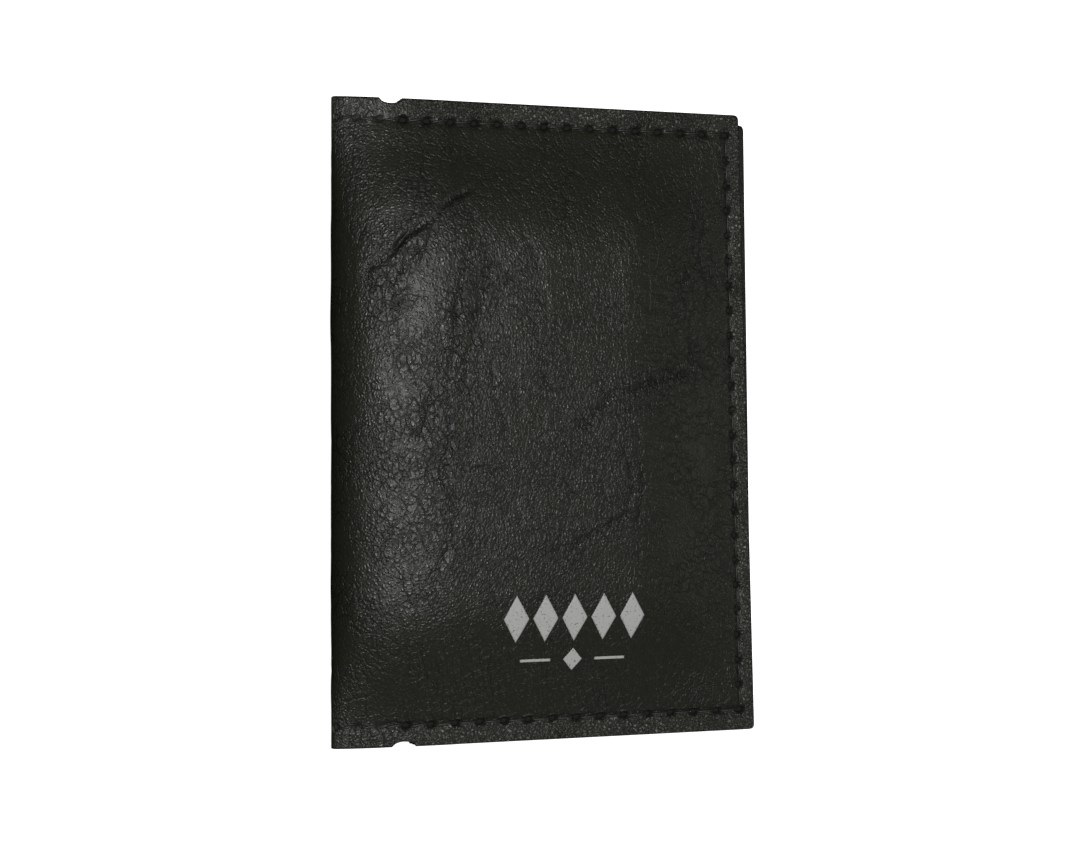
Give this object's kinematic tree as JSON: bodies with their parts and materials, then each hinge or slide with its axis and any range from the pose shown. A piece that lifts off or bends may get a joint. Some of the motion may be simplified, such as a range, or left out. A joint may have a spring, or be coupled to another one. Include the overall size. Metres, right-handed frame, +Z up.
{
  "type": "business card case",
  "caption": "Soft folding case for business cards: padded crinkled leather-look cover, stitched edges and a card pocket in each half; opens flat like a book.",
  "frame": {"origin": "centre of the bounding box at the back cover's underside, the case closed and lying flat", "axes": "+X from the spine to the fore edge, +Y from the tail to the head, +Z up out of the front cover"},
  "size_m": [0.073, 0.105, 0.014],
  "materials": {
    "cover_leather": "crinkled leather-look, soft gloss",
    "pocket_leather": "fine grained, satin",
    "lining_cloth": "woven, matte",
    "padding": "foam sheet, matte",
    "seam_thread": "twisted polyester, low sheen",
    "foil": "stamped foil, satin"
  },
  "bodies": {
    "back": {"back_cover": "cover_leather", "back_foam": "padding", "back_lining": "lining_cloth", "back_pocket": "pocket_leather", "back_hem": "pocket_leather", "back_thread": "seam_thread", "back_bobbin_thread": "seam_thread", "back_mouth_thread": "seam_thread"},
    "spine": {"spine_cover": "cover_leather", "spine_lining": "lining_cloth", "spine_thread": "seam_thread"},
    "front": {"front_cover": "cover_leather", "front_foam": "padding", "front_lining": "lining_cloth", "front_pocket": "pocket_leather", "front_hem": "pocket_leather", "front_thread": "seam_thread", "front_bobbin_thread": "seam_thread", "front_mouth_thread": "seam_thread", "front_stamp": "foil"}
  },
  "joints": [
    {"name": "spine_fold", "type": "hinge", "parent": "back", "child": "spine", "pos_m": [-0.03474, 0, 0.00176], "axis": [0, -1, 0], "range_deg": [0, 90]},
    {"name": "front_fold", "type": "hinge", "parent": "spine", "child": "front", "pos_m": [-0.03474, 0, 0.01224], "axis": [0, -1, 0], "range_deg": [0, 90]}
  ],
  "couplings": [
    {"joint": "spine_fold", "follows": "front_fold", "ratio": 1}
  ]
}
